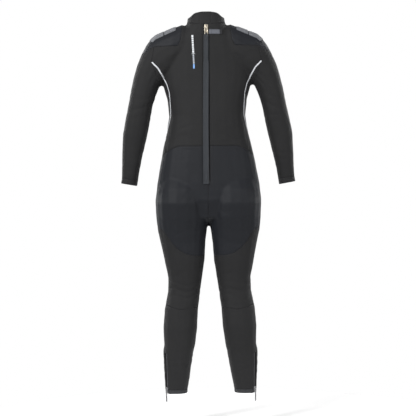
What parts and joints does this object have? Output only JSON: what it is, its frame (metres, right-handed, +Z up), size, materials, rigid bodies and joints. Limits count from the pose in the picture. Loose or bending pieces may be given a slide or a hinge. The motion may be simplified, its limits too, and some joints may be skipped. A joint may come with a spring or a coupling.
{
  "type": "full wetsuit",
  "caption": "Full-length back-zip diving wetsuit, standing as if worn: glued neoprene panels, flap-closed collar, grip pads, back and ankle zips that slide.",
  "frame": {"origin": "middle of the neck opening, level with the back collar seam, on the suit's centre plane", "axes": "+Z up towards the head, +Y towards the wearer's front, +X towards the wearer's right hand"},
  "size_m": [0.643, 0.2427, 1.4282],
  "materials": {
    "neoprene_black": "charcoal black nylon jersey laminated on foam neoprene, dull, fine knit",
    "neoprene_blue_black": "blue-black nylon jersey on foam neoprene, a little smoother and cooler than the body panels",
    "grip_print": "grey printed rubber grip pad with fine raised pattern, satin",
    "hook_loop_grey": "grey hook-and-loop fabric, fuzzy, dull",
    "piping_pale": "pale grey flat-stitched piping tape, satin",
    "tape_black": "black woven zip and hem tape",
    "zip_plastic": "black moulded zip teeth",
    "puller_metal": "cast zinc alloy plated a pale bronze, lightly worn",
    "webbing": "dark grey woven nylon webbing, slightly glossy",
    "print_white": "white transfer print, satin"
  },
  "bodies": {
    "suit": {"ankle_gusset_left": "neoprene_black", "ankle_gusset_right": "neoprene_black", "ankle_hem_left": "tape_black", "ankle_hem_right": "tape_black", "ankle_zip_tape_left": "tape_black", "ankle_zip_tape_right": "tape_black", "ankle_zip_teeth_left": "zip_plastic", "ankle_zip_teeth_right": "zip_plastic", "back_panel_left": "neoprene_black", "back_panel_right": "neoprene_black", "back_print": "print_white", "calf_panel_left": "neoprene_black", "calf_panel_right": "neoprene_black", "chest_panel": "neoprene_black", "collar_band": "neoprene_black", "collar_loop_patch": "hook_loop_grey", "cuff_left": "neoprene_black", "cuff_right": "neoprene_black", "front_hip_panel_left": "neoprene_blue_black", "front_hip_panel_right": "neoprene_blue_black", "knee_pad_left": "grip_print", "knee_pad_right": "grip_print", "lock_tab_anchor": "tape_black", "piping_left": "piping_pale", "piping_right": "piping_pale", "seat_panel_left": "neoprene_blue_black", "seat_panel_right": "neoprene_blue_black", "shin_panel_left": "neoprene_black", "shin_panel_right": "neoprene_black", "shoulder_pad_left": "grip_print", "shoulder_pad_right": "grip_print", "shoulder_panel_left": "neoprene_blue_black", "shoulder_panel_right": "neoprene_blue_black", "side_panel_left": "neoprene_black", "side_panel_right": "neoprene_black", "sleeve_left": "neoprene_black", "sleeve_right": "neoprene_black", "thigh_back_panel_left": "neoprene_black", "thigh_back_panel_right": "neoprene_black", "thigh_front_panel_left": "neoprene_black", "thigh_front_panel_right": "neoprene_black", "zip_baffle": "neoprene_black", "zip_end_stop": "zip_plastic", "zip_tape_left": "tape_black", "zip_tape_right": "tape_black", "zip_teeth": "zip_plastic"},
    "collar_flap": {"collar_flap": "neoprene_black"},
    "lock_tab": {"lock_tab": "hook_loop_grey"},
    "back_slider": {"back_slider": "puller_metal"},
    "back_puller": {"back_puller": "puller_metal"},
    "leash": {"leash": "webbing"},
    "ankle_slider_right": {"ankle_slider_right": "puller_metal"},
    "ankle_puller_right": {"ankle_puller_right": "puller_metal"},
    "ankle_slider_left": {"ankle_slider_left": "puller_metal"},
    "ankle_puller_left": {"ankle_puller_left": "puller_metal"}
  },
  "joints": [
    {"name": "collar_flap_hinge", "type": "hinge", "parent": "suit", "child": "collar_flap", "pos_m": [-0.02415, -0.082, 0], "axis": [0, -0.232, -0.9727], "range_deg": [0, 120]},
    {"name": "lock_tab_hinge", "type": "hinge", "parent": "suit", "child": "lock_tab", "pos_m": [0.0501, -0.084, -0.032], "axis": [0, 0.1961, 0.9806], "range_deg": [0, 150]},
    {"name": "back_slider_slide", "type": "slide", "parent": "suit", "child": "back_slider", "axis": [0, -0.0481, -0.9988], "range_m": [0, 0.55]},
    {"name": "back_puller_hinge", "type": "hinge", "parent": "back_slider", "child": "back_puller", "pos_m": [0, -0.08882, -0.01483], "axis": [-1, 0, 0], "range_deg": [0, 150]},
    {"name": "leash_hinge", "type": "hinge", "parent": "back_puller", "child": "leash", "pos_m": [0, -0.09013, -0.04195], "axis": [-1, 0, 0], "range_deg": [-150, 0], "deforming": ["leash"]},
    {"name": "ankle_slider_right_slide", "type": "slide", "parent": "suit", "child": "ankle_slider_right", "axis": [0.016, -0.0654, 0.9977], "range_m": [0, 0.124]},
    {"name": "ankle_puller_right_hinge", "type": "hinge", "parent": "ankle_slider_right", "child": "ankle_puller_right", "pos_m": [0.16401, -0.02972, -1.34216], "axis": [-0.5345, -0.8439, -0.0467], "range_deg": [0, 150]},
    {"name": "ankle_slider_left_slide", "type": "slide", "parent": "suit", "child": "ankle_slider_left", "axis": [-0.016, -0.0654, 0.9977], "range_m": [0, 0.124]},
    {"name": "ankle_puller_left_hinge", "type": "hinge", "parent": "ankle_slider_left", "child": "ankle_puller_left", "pos_m": [-0.16401, -0.02972, -1.34216], "axis": [-0.5345, 0.8439, 0.0467], "range_deg": [0, 150]}
  ],
  "couplings": [
    {"joint": "leash_hinge", "follows": "back_puller_hinge", "ratio": -1}
  ]
}
